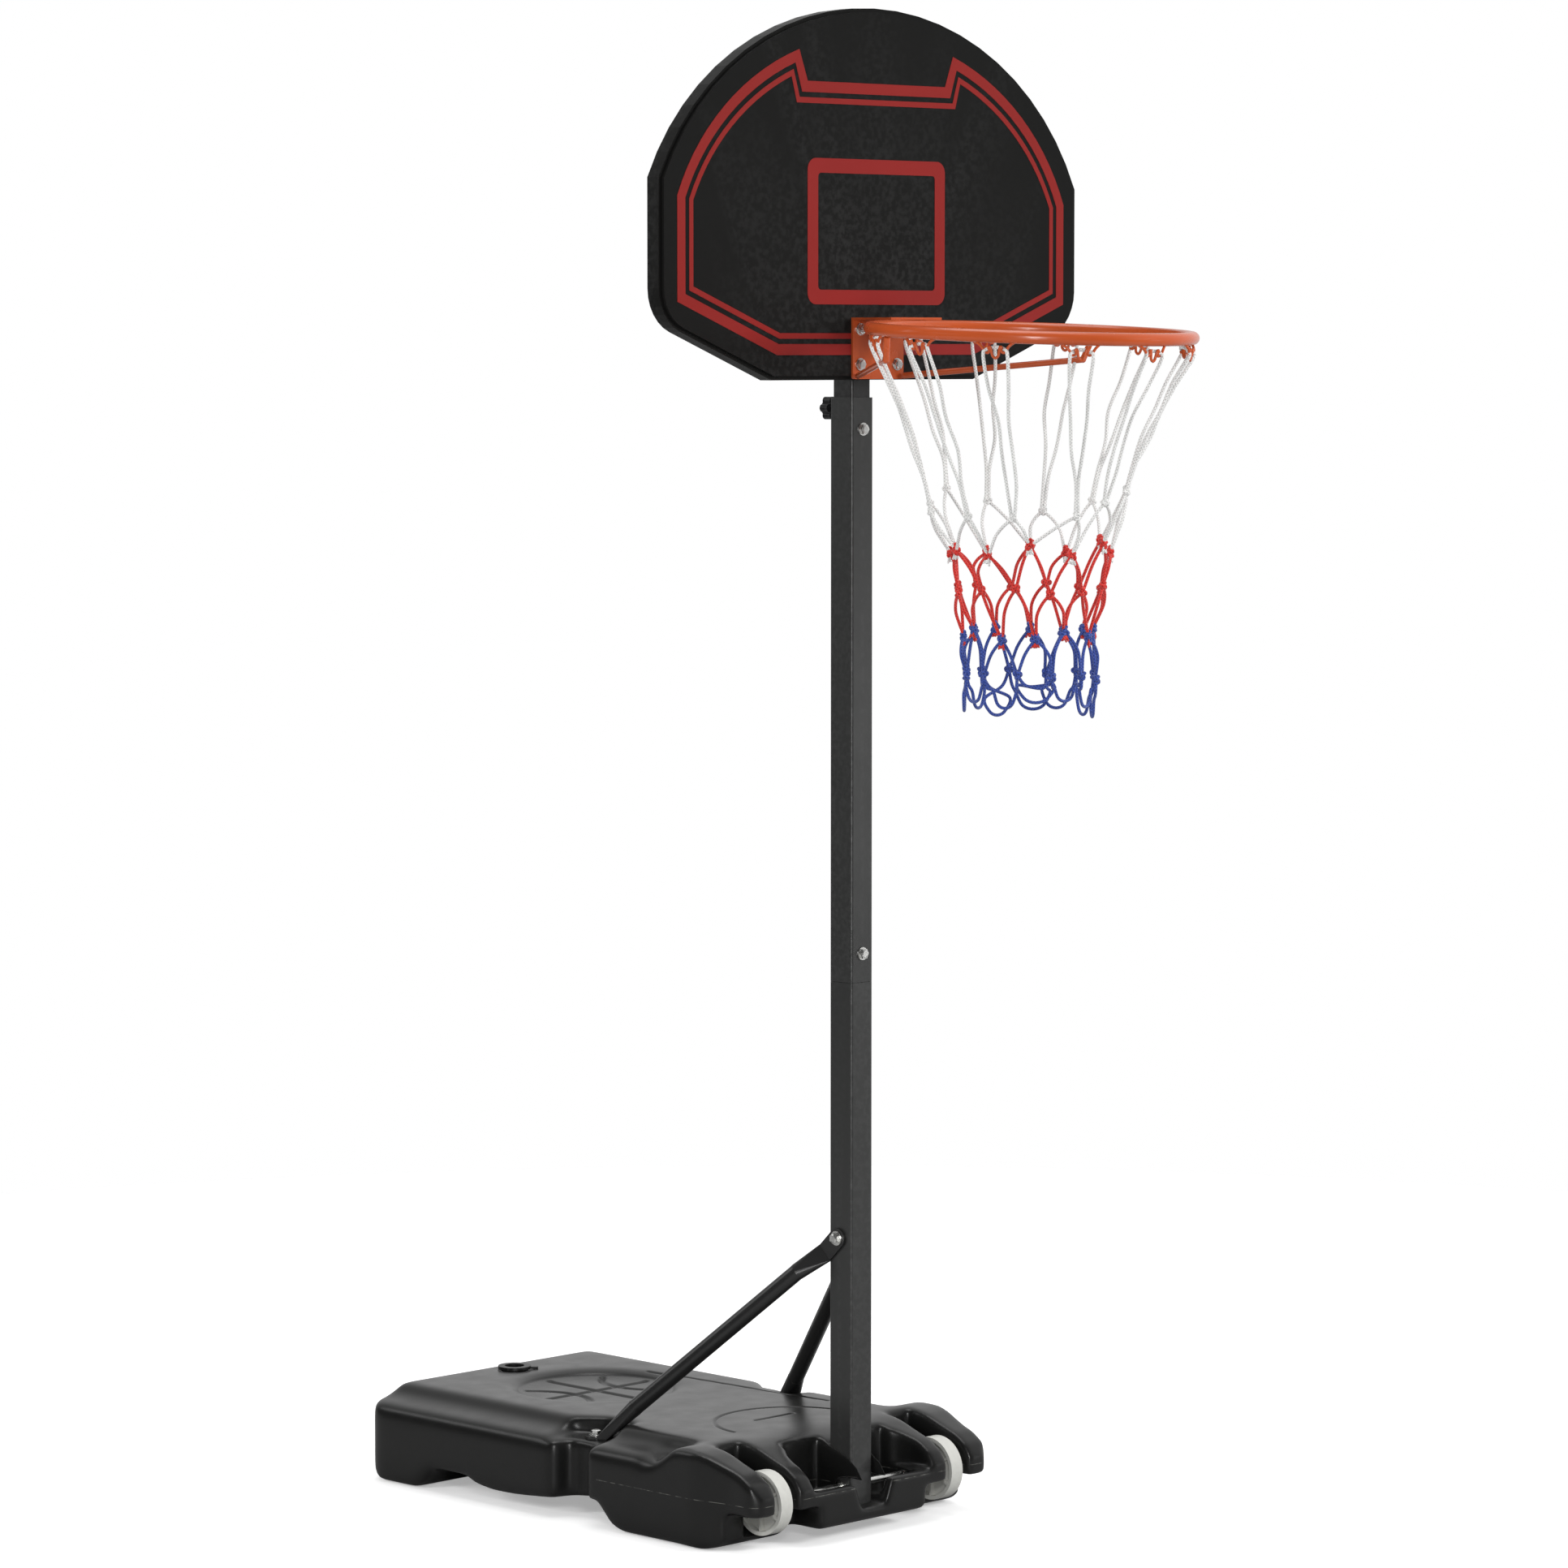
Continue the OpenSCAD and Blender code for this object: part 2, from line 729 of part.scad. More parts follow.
module printed(y0 = board_front_y) {
    color([0.60, 0.12, 0.11]) in_frame() along_y(y0 - print_t, y0) children();
}

// Border: a thick line, and a thin line inside it
module border_print() {
    printed() {
        difference() {
            border_outline(0);
            border_outline(14);
            bracket_window();
        }
        difference() {
            border_outline(20.7);
            border_outline(27.8);
            bracket_window();
        }
    }
}

// The print stops at the rim plate
module bracket_window() {
    translate([-47.5, plate_z0 - 1]) square([95, plate_z1 - plate_z0 + 2]);
}

// Target square
module target_print() {
    z0 = board_z0 + 96.6;
    z1 = board_z0 + 282.4;
    printed() difference() {
        round_rect(254, z0, z1, 15);
        round_rect(216, z0 + 18.6, z1 - 18.6, 5);
    }
}

// Bracket plate welded to the front of the upper tube, behind the board
module board_bracket() {
    color([0.15, 0.15, 0.145]) in_frame() difference() {
        along_y(board_back_y, board_back_y + bracket_t)
            translate([-47, plate_z0]) square([94, plate_z1 - plate_z0]);
        bracket_holes();
    }
}

module board_back_washers() {
    color([0.78, 0.78, 0.76]) in_frame() for (x = [-bolt_x, bolt_x], z = [bolt_z_low, bolt_z_high])
        translate([x, 0, z]) difference() {
            rod_y(8, board_back_y + bracket_t, board_back_y + bracket_t + 1.6);
            rod_y(bolt_r, -100, 0);
        }
}

// ---------------------------------------------------------------- rim

plate_y = board_front_y - plate_t;

// Back plate with a folded top shelf that carries the ring's back
module rim_plate() {
    color([0.72, 0.30, 0.16]) in_frame() difference() {
        union() {
            along_y(plate_y, board_front_y)
                round_rect(94, plate_z0, plate_z1, 4);
            translate([-47, -rim_y + rim_r - 4, plate_z1 - plate_t])
                cube([94, rim_y - rim_r + 4 + board_front_y, plate_t]);
        }
        bracket_holes();
    }
}

// Places its child in the drooping plane of the ring
module in_ring_plane() {
    translate([0, -rim_y, rim_z]) rotate([rim_droop, 0, 0]) children();
}

module rim_ring() {
    color([0.75, 0.33, 0.19]) in_frame() in_ring_plane() rotate_extrude($fn = 96)
        translate([rim_r, 0]) difference() {
            circle(rim_tube_r);
            circle(rim_tube_r - 1.5);
        }
}

// A round bar between two points
module bar(p, q, r) {
    v = q - p;
    translate(p) rotate([0, acos(v[2] / norm(v)), atan2(v[1], v[0])])
        cylinder(r = r, h = norm(v));
}

// Two stay rods from the plate's lower corners to the ring's underside
module rim_rods() {
    rod_r = 4;
    foot = [42, plate_y - rod_r, plate_z0 + 4.2];
    knee = [183, -rim_y + 77, 1537];
    top = [191, -rim_y + 67.5, rim_z - 5.6];
    color([0.72, 0.30, 0.16]) in_frame() both_sides() {
        bar(foot, knee, rod_r);
        translate(knee) sphere(rod_r + 0.2);
        bar(knee, top, rod_r);
    }
}

module rim_bolts() {
    color([0.70, 0.70, 0.70]) in_frame() for (x = [-bolt_x, bolt_x], z = [bolt_z_low, bolt_z_high])
        translate([x, plate_y, z]) rotate([90, 0, 0]) flange_bolt(42, 5, 8, 6.8);
}

module rim_nuts() {
    color([0.78, 0.78, 0.76]) in_frame() for (x = [-bolt_x, bolt_x], z = [bolt_z_low, bolt_z_high])
        translate([x, board_back_y + bracket_t + 1.6, z]) rotate([-90, 0, 0]) hex_nut();
}

// One W-shaped wire hook, hanging below the ring in the plane x, z
module net_hook() {
    wire = 1.9;
    curl = 6;
    dip = 8;
    drop = 10;
    for (s = [-1, 1]) {
        translate([s * (dip + 2 * curl), 0, -drop]) cylinder(r = wire, h = drop);
        translate([s * (dip + curl), 0, -drop]) rotate([-90, 0, 0])
            rotate_extrude(angle = 180) translate([curl, 0]) circle(wire);
        translate([s * dip, 0, -drop]) cylinder(r = wire, h = drop - 3);
    }
    translate([0, 0, -drop]) rotate([-90, 0, 0])
        rotate_extrude(angle = 180) translate([dip, 0]) circle(wire);
}

module net_hooks() {
    color([0.66, 0.27, 0.15]) in_frame() in_ring_plane() for (i = [0:hook_count - 1])
        rotate([0, 0, i * 360 / hook_count]) translate([0, -rim_r, -rim_tube_r + 0.03]) net_hook();
}

// ---------------------------------------------------------------- net

net_z = [1522, 1360, 1302, 1190, 1083];
net_mid_r = 136;

// A thin round skirt between two heights
module net_skirt(z_top, r_top, z_low, r_low, t = 2) {
    translate([0, -rim_y, 0]) rotate_extrude($fn = 48) polygon([
        [r_top, z_top], [r_low, z_low], [r_low - t, z_low], [r_top - t, z_top]]);
}

module net_white() {
    color([0.88, 0.88, 0.88]) in_frame() {
        net_skirt(net_z[0], net_top_r, net_z[1], net_mid_r);
        net_skirt(net_z[1], net_mid_r, net_z[2], net_red_r);
    }
}

module net_red() {
    color([0.78, 0.18, 0.16]) in_frame() net_skirt(net_z[2], net_red_r, net_z[3], net_low_r);
}

module net_blue() {
    color([0.20, 0.30, 0.60]) in_frame() net_skirt(net_z[3], net_low_r, net_z[4], net_low_r);
}

base_tank();
filler_plug();
wheel_left();
wheel_right();
axle_rod();
axle_push_nuts();
pole_lower();
pole_joiner();
pole_middle();
pole_upper();
pole_top_cap();
joint_bolt();
joint_nut();
height_bolt();
height_nut();
clamp_weld_nut();
clamp_knob();
clamp_screw();
clamp_collar();
brace_left();
brace_right();
brace_top_bolt();
brace_top_washers();
brace_top_nut();
brace_foot_bolts();
brace_foot_washers();
brace_foot_inserts();
backboard();
border_print();
target_print();
board_bracket();
board_back_washers();
rim_plate();
rim_ring();
rim_rods();
rim_bolts();
rim_nuts();
net_hooks();
net_white();
net_red();
net_blue();
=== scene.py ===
"""Looks of a portable basketball hoop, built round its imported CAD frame. Metres throughout."""

import json
import math

import bmesh
import bpy
import numpy as np
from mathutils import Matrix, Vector


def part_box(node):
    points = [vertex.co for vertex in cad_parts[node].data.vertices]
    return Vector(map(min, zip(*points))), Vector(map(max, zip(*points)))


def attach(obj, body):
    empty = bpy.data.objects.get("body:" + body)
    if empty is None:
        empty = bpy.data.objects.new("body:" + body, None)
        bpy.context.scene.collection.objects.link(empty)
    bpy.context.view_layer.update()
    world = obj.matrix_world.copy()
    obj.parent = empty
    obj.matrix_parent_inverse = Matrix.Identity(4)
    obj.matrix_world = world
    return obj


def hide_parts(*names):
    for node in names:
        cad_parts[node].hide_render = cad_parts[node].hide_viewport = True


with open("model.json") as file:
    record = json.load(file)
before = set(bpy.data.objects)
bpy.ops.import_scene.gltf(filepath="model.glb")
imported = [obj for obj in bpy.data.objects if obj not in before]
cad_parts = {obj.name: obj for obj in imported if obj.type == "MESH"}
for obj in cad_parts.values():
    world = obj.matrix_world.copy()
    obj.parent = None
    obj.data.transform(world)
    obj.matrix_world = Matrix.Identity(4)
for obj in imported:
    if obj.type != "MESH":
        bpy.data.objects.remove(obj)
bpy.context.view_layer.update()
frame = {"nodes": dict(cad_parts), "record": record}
nodes = frame["nodes"]
rng = np.random.default_rng(11)

# ---------------------------------------------------------------- camera and room

# The side that the surfaces see as bright: to the right, behind and above
BRIGHT_SIDE = (0.85, 0.30, 0.45)


def add_camera():
    """The photograph's view: a long lens from the front left, a little above the rim."""
    data = bpy.data.cameras.new("camera")
    data.lens = 128.2
    data.sensor_width = 36.0
    data.clip_end = 200.0
    camera = bpy.data.objects.new("camera", data)
    camera.location = (-5.2008, -5.1582, 1.5570)
    camera.rotation_euler = (math.radians(90 - 4.505), 0, math.radians(-45.044))
    bpy.context.scene.collection.objects.link(camera)
    bpy.context.scene.camera = camera


def add_light(name, place, aim, size, power, glossy=True, height=None):
    """An area lamp aimed at a point: square, or a strip if it has a height."""
    data = bpy.data.lights.new(name, "AREA")
    data.size = size
    if height:
        data.shape = "RECTANGLE"
        data.size_y = height
    data.energy = power
    lamp = bpy.data.objects.new(name, data)
    lamp.location = place
    lamp.visible_glossy = glossy
    lamp.visible_camera = False
    lamp.rotation_euler = (Vector(aim) - Vector(place)).to_track_quat("-Z", "Y").to_euler()
    bpy.context.scene.collection.objects.link(lamp)


def split_by_ray(tree, seen, other, output):
    """Gives the camera one shader and every other ray another."""
    path = tree.nodes.new("ShaderNodeLightPath")
    mix = tree.nodes.new("ShaderNodeMixShader")
    tree.links.new(path.outputs["Is Camera Ray"], mix.inputs["Fac"])
    tree.links.new(other, mix.inputs[1])
    tree.links.new(seen, mix.inputs[2])
    tree.links.new(mix.outputs["Shader"], tree.nodes[output].inputs["Surface"])


def add_surround():
    """A surround that is white to the camera."""
    scene = bpy.context.scene
    scene.view_settings.view_transform = "Standard"
    world = bpy.data.worlds.new("studio")
    scene.world = world
    world.use_nodes = True
    tree = world.node_tree
    seen = tree.nodes["Background"]
    seen.inputs["Color"].default_value = (1, 1, 1, 1)
    seen.inputs["Strength"].default_value = 1.0
    # what the surfaces see: a gradient from dim to bright
    lit = tree.nodes.new("ShaderNodeBackground")
    lit.inputs["Color"].default_value = (1, 1, 1, 1)
    facing = node(tree, "ShaderNodeVectorMath", operation="DOT_PRODUCT")
    tree.links.new(tree.nodes.new("ShaderNodeTexCoord").outputs["Generated"], facing.inputs[0])
    facing.inputs[1].default_value = BRIGHT_SIDE
    dim, bright = 0.06, 0.88
    tree.links.new(spread(tree, facing.outputs["Value"], dim, bright, 0.0, 0.9), lit.inputs["Strength"])
    split_by_ray(tree, seen.outputs["Background"], lit.outputs["Background"], "World Output")


def add_floor():
    """A plain pale floor, just under the tank."""
    bpy.ops.mesh.primitive_circle_add(vertices=96, radius=3.2, fill_type="NGON", location=(0, 0, -0.0006))
    floor = bpy.context.object
    floor.name = "floor"
    material = bpy.data.materials.new("floor_paint")
    material.use_nodes = True
    tree = material.node_tree
    bsdf = tree.nodes["Principled BSDF"]
    bsdf.inputs["Base Color"].default_value = (0.93, 0.93, 0.93, 1)
    bsdf.inputs["Roughness"].default_value = 0.85
    bsdf.inputs["Specular IOR Level"].default_value = 0.1
    bsdf.inputs["Emission Color"].default_value = (1, 1, 1, 1)
    bsdf.inputs["Emission Strength"].default_value = 0.35
    # the floor throws little light back at the hoop, whose sides are dark
    dim = node(tree, "ShaderNodeBsdfDiffuse", Color=(0.38, 0.38, 0.38, 1))
    split_by_ray(tree, bsdf.outputs["BSDF"], dim.outputs["BSDF"], "Material Output")
    floor.data.materials.append(material)


def add_lights():
    """Soft studio lamps; two of them light without a reflection of their own."""
    add_light("key_light", (2.2, -3.9, 2.6), (0, -0.1, 1.0), 1.5, 150, glossy=False)
    add_light("low_strip", (3.7, -4.0, 0.65), (0, -0.1, 0.6), 0.7, 4)
    add_light("camera_side_light", (-3.2, -3.6, 2.1), (0, -0.1, 1.1), 0.7, 66)
    add_light("corner_strip", (-2.9, -3.2, 0.4), (0, -0.1, 0.4), 0.3, 34, height=1.8)
    add_light("left_light", (-3.8, 0.8, 1.9), (0, -0.1, 1.0), 1.2, 75, glossy=False)
    add_light("top_light", (0.0, 0.2, 4.6), (0, 0, 0.5), 2.4, 62)
    add_light("back_light", (-2.2, 3.2, 2.6), (0, 0, 1.0), 1.6, 18)


# ---------------------------------------------------------------- materials

DUST_TONE = (0.30, 0.30, 0.29)
# A thin light line painted at the mould seam's height, on the front blocks only, ahead of this Y: the seam is
# real, and its lightness is a painted highlight for the light the seam catches
PARTING_HIGHLIGHT_Z = 0.065
PARTING_HIGHLIGHT_END_Y = 0.150
PARTING_HIGHLIGHT_HALF_WIDTH = 0.0004
# colour of the painted seam highlight
PARTING_HIGHLIGHT_TONE = (0.11, 0.11, 0.10)
# Length of cord that one turn of the braid takes
BRAID_PITCH = 0.0042


def node(tree, kind, **values):
    """A shader node with its named inputs or properties set."""
    made = tree.nodes.new(kind)
    for key, value in values.items():
        if hasattr(made, key):
            setattr(made, key, value)
        else:
            made.inputs[key.replace("_", " ")].default_value = value
    return made


def math_node(tree, operation, *values):
    """A math node's result; each value is a socket to link or a plain number."""
    made = node(tree, "ShaderNodeMath", operation=operation)
    for i, value in enumerate(values):
        if isinstance(value, (int, float)):
            made.inputs[i].default_value = value
        else:
            tree.links.new(value, made.inputs[i])
    return made.outputs["Value"]


def noise(tree, coordinates, scale, detail=3.0):
    made = node(tree, "ShaderNodeTexNoise", Scale=scale, Detail=detail)
    tree.links.new(coordinates, made.inputs["Vector"])
    return made.outputs["Fac"]


def spread(tree, value, low, high, start=0.3, end=0.7):
    """Maps a noise to the range from low to high."""
    made = tree.nodes.new("ShaderNodeMapRange")
    for name, number in (("From Min", start), ("From Max", end), ("To Min", low), ("To Max", high)):
        made.inputs[name].default_value = number
    tree.links.new(value, made.inputs["Value"])
    return made.outputs["Result"]


def mixed(tree, share, first, second):
    """The first colour blended to the second by a share from 0 to 1."""
    made = tree.nodes.new("ShaderNodeMix")
    made.data_type = "RGBA"
    tree.links.new(share, made.inputs["Factor"])
    for socket, colour in ((made.inputs["A"], first), (made.inputs["B"], second)):
        if isinstance(colour, tuple):
            socket.default_value = (*colour, 1)
        else:
            tree.links.new(colour, socket)
    return made.outputs["Result"]


def scaled(colour, factor):
    return tuple(min(1.0, c * factor) for c in colour)


def surface(
    name,
    colour,
    rough,
    metallic=0.0,
    specular=0.5,
    coat=0.0,
    mottle=0.12,
    mottle_size=0.05,
    grain_size=0.0012,
    grain_depth=0.00006,
    rough_spread=0.07,
    worn=None,
    wear=(0.53, 0.62),
    dust=0.0,
    seam_highlight_z=None,
):
    """A solid finish: mottled colour, uneven gloss, fine grain, paler worn edges and a little dust on top.

    A seam height adds a thin broken light line where a moulding's two halves met: a painted highlight
    standing for the light that the seam catches.
    """
    material = bpy.data.materials.new(name)
    material.use_nodes = True
    tree = material.node_tree
    bsdf = tree.nodes["Principled BSDF"]
    bsdf.inputs["Metallic"].default_value = metallic
    bsdf.inputs["Specular IOR Level"].default_value = specular
    bsdf.inputs["Coat Weight"].default_value = coat
    bsdf.inputs["Coat Roughness"].default_value = 0.12
    where = tree.nodes.new("ShaderNodeTexCoord").outputs["Object"]

    cloud = noise(tree, where, 1 / mottle_size, 4)
    tone = mixed(tree, spread(tree, cloud, 0, 1), scaled(colour, 1 - mottle), scaled(colour, 1 + mottle))
    shape = tree.nodes.new("ShaderNodeNewGeometry")
    if worn:
        patchy = spread(tree, noise(tree, where, 160, 5), 0, 1, 0.42, 0.62)
        edge = spread(tree, shape.outputs["Pointiness"], 0, 0.55, *wear)
        tone = mixed(tree, math_node(tree, "MULTIPLY", patchy, edge), tone, worn)
    if dust:
        axes = tree.nodes.new("ShaderNodeSeparateXYZ")
        tree.links.new(shape.outputs["Normal"], axes.inputs["Vector"])
        up = spread(tree, axes.outputs["Z"], 0, dust, 0.6, 1.0)
        drifts = spread(tree, noise(tree, where, 22, 6), 0.55, 1.0)
        tone = mixed(tree, math_node(tree, "MULTIPLY", up, drifts), tone, DUST_TONE)
    if seam_highlight_z:
        # a thin broken light line at the seam's height: a painted highlight, because the seam itself is not
        # modelled
        place = tree.nodes.new("ShaderNodeSeparateXYZ")
        tree.links.new(where, place.inputs["Vector"])
        band = math_node(tree, "COMPARE", place.outputs["Z"], seam_highlight_z, PARTING_HIGHLIGHT_HALF_WIDTH)
        ahead = math_node(tree, "LESS_THAN", place.outputs["Y"], PARTING_HIGHLIGHT_END_Y)
        seam_highlight_mask = math_node(tree, "MULTIPLY", band, ahead)
        breaks = spread(tree, noise(tree, where, 90, 3), 0, 1, 0.44, 0.60)
        tone = mixed(tree, math_node(tree, "MULTIPLY", seam_highlight_mask, breaks), tone, PARTING_HIGHLIGHT_TONE)
    tree.links.new(tone, bsdf.inputs["Base Color"])

    patches = noise(tree, where, 30, 4)
    gloss = spread(tree, patches, rough - rough_spread, rough + rough_spread)
    tree.links.new(gloss, bsdf.inputs["Roughness"])

    bump = tree.nodes.new("ShaderNodeBump")
    bump.inputs["Strength"].default_value = 1.0
    bump.inputs["Distance"].default_value = grain_depth
    tree.links.new(noise(tree, where, 1 / grain_size, 2), bump.inputs["Height"])
    tree.links.new(bump.outputs["Normal"], bsdf.inputs["Normal"])
    return material


def braided(name, colour, painted_groove_shade):
    """Braided cord: two crossing families of ridges that follow the cord's own length."""
    material = bpy.data.materials.new(name)
    material.use_nodes = True
    tree = material.node_tree
    bsdf = tree.nodes["Principled BSDF"]
    bsdf.inputs["Roughness"].default_value = 0.78
    bsdf.inputs["Specular IOR Level"].default_value = 0.25
    bsdf.inputs["Sheen Weight"].default_value = 0.25
    bsdf.inputs["Sheen Roughness"].default_value = 0.5
    coordinates = tree.nodes.new("ShaderNodeTexCoord")
    axes = tree.nodes.new("ShaderNodeSeparateXYZ")
    tree.links.new(coordinates.outputs["UV"], axes.inputs["Vector"])
    ridges = []
    for turns in (3, -3):
        around = math_node(tree, "MULTIPLY", axes.outputs["X"], turns * 2 * math.pi)
        along = math_node(tree, "MULTIPLY_ADD", axes.outputs["Y"], 2 * math.pi / BRAID_PITCH, around)
        ridges.append(math_node(tree, "SINE", along))
    height = spread(tree, math_node(tree, "MAXIMUM", *ridges), 0, 1, -0.6, 1.0)
    where = coordinates.outputs["Object"]
    cloud = spread(tree, noise(tree, where, 60, 3), 0, 1)
    tone = mixed(tree, cloud, scaled(colour, 0.92), scaled(colour, 1.06))
    # the braid's hollows take the darker colour: painted shade between the strands
    tree.links.new(mixed(tree, height, painted_groove_shade, tone), bsdf.inputs["Base Color"])
    fuzz = math_node(tree, "MULTIPLY_ADD", noise(tree, where, 2600, 2), 0.35, height)
    bump = tree.nodes.new("ShaderNodeBump")
    bump.inputs["Strength"].default_value = 0.8
    bump.inputs["Distance"].default_value = 0.0005
    tree.links.new(fuzz, bump.inputs["Height"])
    tree.links.new(bump.outputs["Normal"], bsdf.inputs["Normal"])
    return material


def make_finishes():
    """One material for each material slot of the record."""
    zinc = dict(metallic=1.0, mottle=0.08, mottle_size=0.006, grain_size=0.0006, grain_depth=0.00002)
    paint = dict(
        specular=0.5, mottle=0.03, mottle_size=0.2, grain_size=0.0018, grain_depth=0.00002,
        rough_spread=0.02)
    return {
        "tank_plastic": surface(
            "tank_plastic", (0.0070, 0.0070, 0.0068), 0.31, specular=0.38, mottle=0.08, mottle_size=0.12,
            grain_size=0.0013, grain_depth=0.00003, rough_spread=0.03, worn=(0.05, 0.05, 0.048),
            wear=(0.54, 0.64), dust=0.02, seam_highlight_z=PARTING_HIGHLIGHT_Z),
        "black_plastic": surface(
            "black_plastic", (0.006, 0.006, 0.006), 0.38, specular=0.24, mottle=0.05, grain_size=0.0012,
            grain_depth=0.00003, rough_spread=0.03, worn=(0.04, 0.04, 0.04)),
        "wheel_plastic": surface(
            "wheel_plastic", (0.57, 0.57, 0.535), 0.42, mottle=0.02, grain_size=0.0012, rough_spread=0.03,
            grain_depth=0.00002, worn=(0.42, 0.42, 0.40), wear=(0.60, 0.72)),
        "zinc_steel": surface("zinc_steel", (0.74, 0.74, 0.72), 0.24, rough_spread=0.08, **zinc),
        "brass": surface("brass", (0.72, 0.52, 0.22), 0.34, **zinc),
        "pole_paint": surface(
            "pole_paint", (0.026, 0.0265, 0.026), 0.30, worn=(0.08, 0.08, 0.08), wear=(0.60, 0.72), **paint),
        "brace_paint": surface(
            "brace_paint", (0.014, 0.014, 0.014), 0.30, worn=(0.07, 0.07, 0.07), wear=(0.60, 0.72), **paint),
        "board_plastic": surface(
            "board_plastic", (0.0076, 0.0076, 0.0073), 0.44, specular=0.11, mottle=0.04, mottle_size=0.15,
            grain_size=0.0014, grain_depth=0.00003, rough_spread=0.03, worn=(0.04, 0.04, 0.04),
            wear=(0.56, 0.66)),
        "print_red": surface(
            "print_red", (0.225, 0.0115, 0.0095), 0.42, specular=0.30, mottle=0.04, mottle_size=0.15,
            grain_size=0.0014, grain_depth=0.00003, rough_spread=0.03),
        "rim_paint": surface(
            "rim_paint", (0.46, 0.078, 0.020), 0.26, specular=0.34, coat=0.15, mottle=0.05, mottle_size=0.08,
            grain_size=0.0025, grain_depth=0.00004, rough_spread=0.03,
            worn=(0.34, 0.062, 0.022), wear=(0.60, 0.74)),
        # each cord's second colour is its painted shade in the braid's hollows
        "net_white_cord": braided("net_white_cord", (0.80, 0.80, 0.79), (0.50, 0.50, 0.49)),
        "net_red_cord": braided("net_red_cord", (0.66, 0.040, 0.030), (0.36, 0.014, 0.011)),
        "net_blue_cord": braided("net_blue_cord", (0.045, 0.085, 0.36), (0.016, 0.032, 0.16)),
    }


# Width of the small round on each node's outer edges
EDGE_ROUND = {
    "backboard": 0.0022,
    "rim_plate": 0.0008,
    "wheel_left": 0.0010,
    "wheel_right": 0.0010,
    "filler_plug": 0.0005,
    "pole_top_cap": 0.0010,
    "board_bracket": 0.0005,
    "clamp_knob": 0.0010,
}


def dress_cad_nodes(finishes):
    """Gives every carried-over CAD node its finish, and the nodes listed in EDGE_ROUND small rounds on their
    edges.
    """
    for part in frame["record"]["subparts"]:
        thing = nodes[part["node"]]
        thing.data.materials.clear()
        # the sliding tube is painted darker than the tubes below it
        finish = "brace_paint" if part["node"] == "pole_upper" else part["material_slot"]
        thing.data.materials.append(finishes[finish])
        width = EDGE_ROUND.get(part["node"], 0)
        if width:
            bevel = thing.modifiers.new("edge_round", "BEVEL")
            bevel.width = width
            bevel.segments = 3
            bevel.limit_method = "ANGLE"
            bevel.angle_limit = math.radians(40)
            bevel.harden_normals = True


# ---------------------------------------------------------------- tank

# The filler neck's middle stands this far in from the tank's back, with this clear radius
NECK_FROM_BACK = 0.048
NECK_R = 0.020
# How far down the softened skin closes the bores
BORE_DEPTH = 0.020
VOXEL = 0.0021
SOFTEN_TIMES = 46
ROUND_OFF_TIMES = 110

# The deck's drawing. Y is measured from the pole's axis.
BALL_Y = 0.490
BALL_FLOOR_R = 0.100
BRIM_R = 0.106
CURVED_SEAM_X = 0.118
CURVED_SEAM_R = 0.0785
SEAM_HALF_WIDTH = 0.0047
SEAM_DEPTH = 0.0032
ARC_Y = 0.107
ARC_R = 0.105
MARK_HALF_WIDTH = 0.0019
MARK_DEPTH = 0.0030


def pole_y():
    """The Y of the pole's axis."""
    low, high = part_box("pole_middle")
    return (low.y + high.y) / 2


def island_of(start):
    """Every vertex reached from one vertex along edges."""
    found, queue = {start}, [start]
    while queue:
        vert = queue.pop()
        for edge in vert.link_edges:
            other = edge.other_vert(vert)
            if other not in found:
                found.add(other)
                queue.append(other)
    return found


def outer_skin():
    """A copy of the tank's CAD mesh without its hollow, its bores closed a little way down."""
    mesh = bmesh.new()
    mesh.from_mesh(nodes["base_tank"].data)
    bmesh.ops.remove_doubles(mesh, verts=mesh.verts, dist=1e-5)
    insert_low, insert_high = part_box("brace_foot_inserts")
    insert_r = (insert_high.y - insert_low.y) / 2
    seat_y = (insert_low.y + insert_high.y) / 2
    seat_x = insert_high.x - insert_r
    neck_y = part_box("base_tank")[1].y - NECK_FROM_BACK
    seat_r = insert_r + 0.002
    bores = [(0.0, neck_y, NECK_R), (seat_x, seat_y, seat_r), (-seat_x, seat_y, seat_r)]
    walls = [
        face
        for face in mesh.faces
        for x, y, r in bores
        if abs(face.normal.z) < 0.3
        and all(math.hypot(v.co.x - x, v.co.y - y) < r for v in face.verts)
    ]
    bmesh.ops.delete(mesh, geom=walls, context="FACES")
    mesh.verts.ensure_lookup_table()
    highest = max(mesh.verts, key=lambda v: (v.co.z, v.co.y))
    skin = island_of(highest)
    bmesh.ops.delete(mesh, geom=[v for v in mesh.verts if v not in skin], context="VERTS")
    rims = [e for e in mesh.edges if e.is_boundary]
    grown = bmesh.ops.extrude_edge_only(mesh, edges=rims)["geom"]
    low = [v for v in grown if isinstance(v, bmesh.types.BMVert)]
    bmesh.ops.translate(mesh, verts=low, vec=(0, 0, -BORE_DEPTH))
    bmesh.ops.holes_fill(mesh, edges=[e for e in mesh.edges if e.is_boundary], sides=0)
    bmesh.ops.recalc_face_normals(mesh, faces=mesh.faces)
    data = bpy.data.meshes.new("tank_skin")
    mesh.to_mesh(data)
    mesh.free()
    skin_object = bpy.data.objects.new("tank_skin", data)
    bpy.context.scene.collection.objects.link(skin_object)
    return skin_object


def applied(thing):
    """Bakes an object's modifiers into its mesh."""
    view = bpy.context.evaluated_depsgraph_get()
    data = bpy.data.meshes.new_from_object(thing.evaluated_get(view))
    old = thing.data
    thing.modifiers.clear()
    thing.data = data
    bpy.data.meshes.remove(old)


